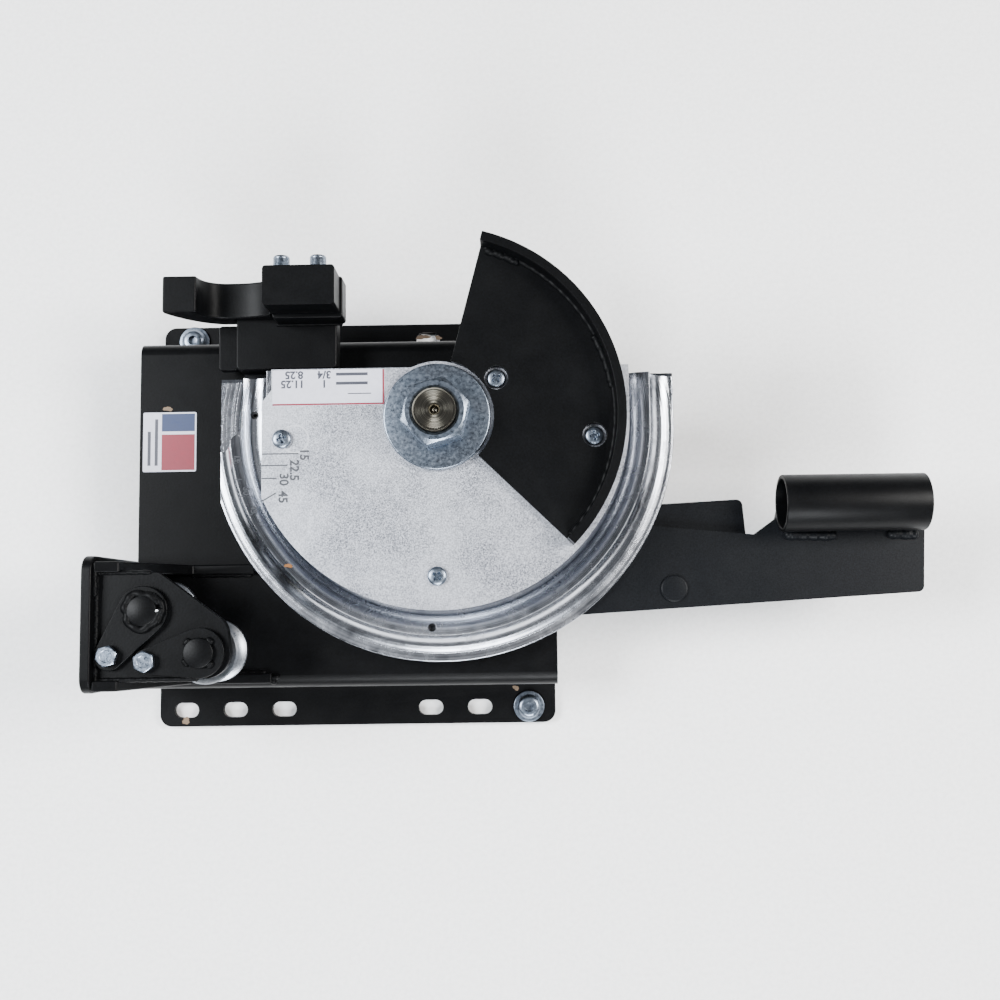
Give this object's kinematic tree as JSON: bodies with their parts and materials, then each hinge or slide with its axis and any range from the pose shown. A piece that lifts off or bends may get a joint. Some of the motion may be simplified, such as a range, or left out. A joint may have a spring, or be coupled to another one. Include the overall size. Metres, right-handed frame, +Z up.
{
  "type": "manual tube bender",
  "caption": "Bench-mounted manual tube bender: hat-section base, stepped two-groove die on a pivot stud, lever with handle socket, hook clamp, follower rollers.",
  "frame": {"origin": "middle of the whole part's footprint, on the bench surface", "axes": "+X towards the handle socket, +Y to the rear, away from the user, +Z up along the pivot stud"},
  "size_m": [0.507, 0.2968, 0.1395],
  "materials": {
    "black_powder_coat": "satin black powder coat, fine orange peel",
    "machined_aluminium": "milled and turned, fine tool marks",
    "zinc_plate": "bright zinc plate",
    "bright_steel": "turned steel",
    "bronze": "sintered bearing bronze",
    "label_vinyl": "printed vinyl"
  },
  "bodies": {
    "base": {"base_channel": "black_powder_coat", "bench_screw_front": "zinc_plate", "bench_screw_front_washer": "zinc_plate", "bench_screw_rear": "zinc_plate", "bench_screw_rear_washer": "zinc_plate", "pivot_stud": "bright_steel", "thrust_washer": "bronze", "pivot_washer": "zinc_plate", "pivot_nut": "zinc_plate", "carrier_end_plate": "black_powder_coat", "carrier_rear_gusset": "black_powder_coat", "carrier_front_gusset": "black_powder_coat", "carrier_top_plate": "black_powder_coat", "pin_keeper_1": "black_powder_coat", "pin_keeper_2": "black_powder_coat", "keeper_bolt_1": "zinc_plate", "keeper_bolt_2": "zinc_plate", "large_roller_pin": "black_powder_coat", "small_roller_pin": "black_powder_coat", "large_roller_spacer": "bright_steel", "small_roller_spacer": "bright_steel", "deck_label": "label_vinyl"},
    "die_and_lever": {"bending_die": "machined_aluminium", "pivot_bush": "bronze", "scale_plate": "machined_aluminium", "plate_screw_1": "zinc_plate", "plate_screw_2": "zinc_plate", "plate_screw_3": "zinc_plate", "plate_screw_4": "zinc_plate", "scale_label": "label_vinyl", "sector_guard": "black_powder_coat", "hook_base": "black_powder_coat", "hook_groove_block": "black_powder_coat", "hook_lower_block": "black_powder_coat", "hook_upper_block": "black_powder_coat", "hook_saddle": "black_powder_coat", "hook_screw_1": "zinc_plate", "hook_screw_2": "zinc_plate", "lever_plate": "black_powder_coat", "lever_spacer": "bronze", "lever_stiffener": "black_powder_coat", "lever_pin": "black_powder_coat", "handle_socket": "black_powder_coat"},
    "large_roller_body": {"large_roller": "bright_steel", "large_roller_bush": "bronze"},
    "small_roller_body": {"small_roller": "bright_steel", "small_roller_bush": "bronze"}
  },
  "joints": [
    {"name": "die_swing", "type": "hinge", "parent": "base", "child": "die_and_lever", "pos_m": [-0.0485, 0.04104, 0], "axis": [0, 0, -1], "range_deg": [-30, 92]},
    {"name": "large_roller_spin", "type": "hinge", "parent": "base", "child": "large_roller_body", "pos_m": [-0.2186, -0.07136, 0], "axis": [0, 0, 1], "continuous": true},
    {"name": "small_roller_spin", "type": "hinge", "parent": "base", "child": "small_roller_body", "pos_m": [-0.1857, -0.09576, 0], "axis": [0, 0, 1], "continuous": true}
  ]
}
